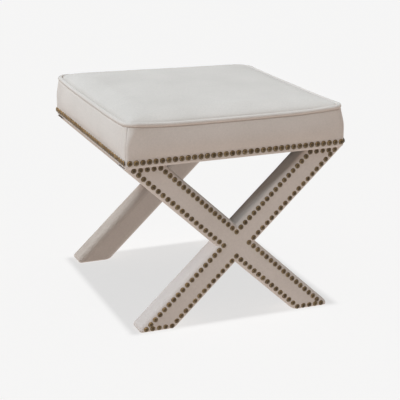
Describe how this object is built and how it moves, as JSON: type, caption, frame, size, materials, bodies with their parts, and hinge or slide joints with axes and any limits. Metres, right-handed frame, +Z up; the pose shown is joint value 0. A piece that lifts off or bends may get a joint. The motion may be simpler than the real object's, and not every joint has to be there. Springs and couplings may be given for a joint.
{
  "type": "footstool",
  "caption": "Square upholstered footstool with a piped, gently crowned seat on crossed-leg frames covered in the same cloth and edged with domed nails.",
  "frame": {"origin": "on the floor under the middle of the seat", "axes": "+Z up, -Y towards the front, where one crossed-leg frame faces the viewer, +X to the right"},
  "size_m": [0.5136, 0.5386, 0.4776],
  "materials": {
    "cover_fabric": "plain woven upholstery cloth, warm light taupe, matt",
    "foam": "open-cell seat foam",
    "wadding": "polyester wadding",
    "dust_cloth": "thin black bottoming cloth",
    "nail_bronze": "antique bronze, worn brighter on the domes",
    "frame_wood": "bare hardwood",
    "plywood": "bare plywood",
    "steel": "zinc plated",
    "glide_plastic": "matt dark brown"
  },
  "bodies": {
    "root": {"seat_top_cover": "cover_fabric", "seat_welt": "cover_fabric", "front_boxing": "cover_fabric", "rear_boxing": "cover_fabric", "left_boxing": "cover_fabric", "right_boxing": "cover_fabric", "front_outer_cover": "cover_fabric", "front_inner_cover": "cover_fabric", "front_upper_band": "cover_fabric", "front_lower_band": "cover_fabric", "front_left_band": "cover_fabric", "front_right_band": "cover_fabric", "rear_outer_cover": "cover_fabric", "rear_inner_cover": "cover_fabric", "rear_upper_band": "cover_fabric", "rear_lower_band": "cover_fabric", "rear_left_band": "cover_fabric", "rear_right_band": "cover_fabric", "foot_caps": "cover_fabric", "seat_foam": "foam", "seat_batting": "wadding", "rail_padding": "wadding", "front_rising_padding": "wadding", "front_falling_padding": "wadding", "rear_rising_padding": "wadding", "rear_falling_padding": "wadding", "dust_cover": "dust_cloth", "front_seat_nails": "nail_bronze", "rear_seat_nails": "nail_bronze", "left_seat_nails": "nail_bronze", "right_seat_nails": "nail_bronze", "front_leg_nails": "nail_bronze", "rear_leg_nails": "nail_bronze", "front_rail": "frame_wood", "rear_rail": "frame_wood", "left_rail": "frame_wood", "right_rail": "frame_wood", "front_leg_board": "frame_wood", "rear_leg_board": "frame_wood", "front_rising_leg": "frame_wood", "front_falling_leg": "frame_wood", "rear_rising_leg": "frame_wood", "rear_falling_leg": "frame_wood", "seat_deck": "plywood", "leg_bolts": "steel", "lap_screws": "steel", "foot_glides": "glide_plastic"}
  },
  "joints": []
}
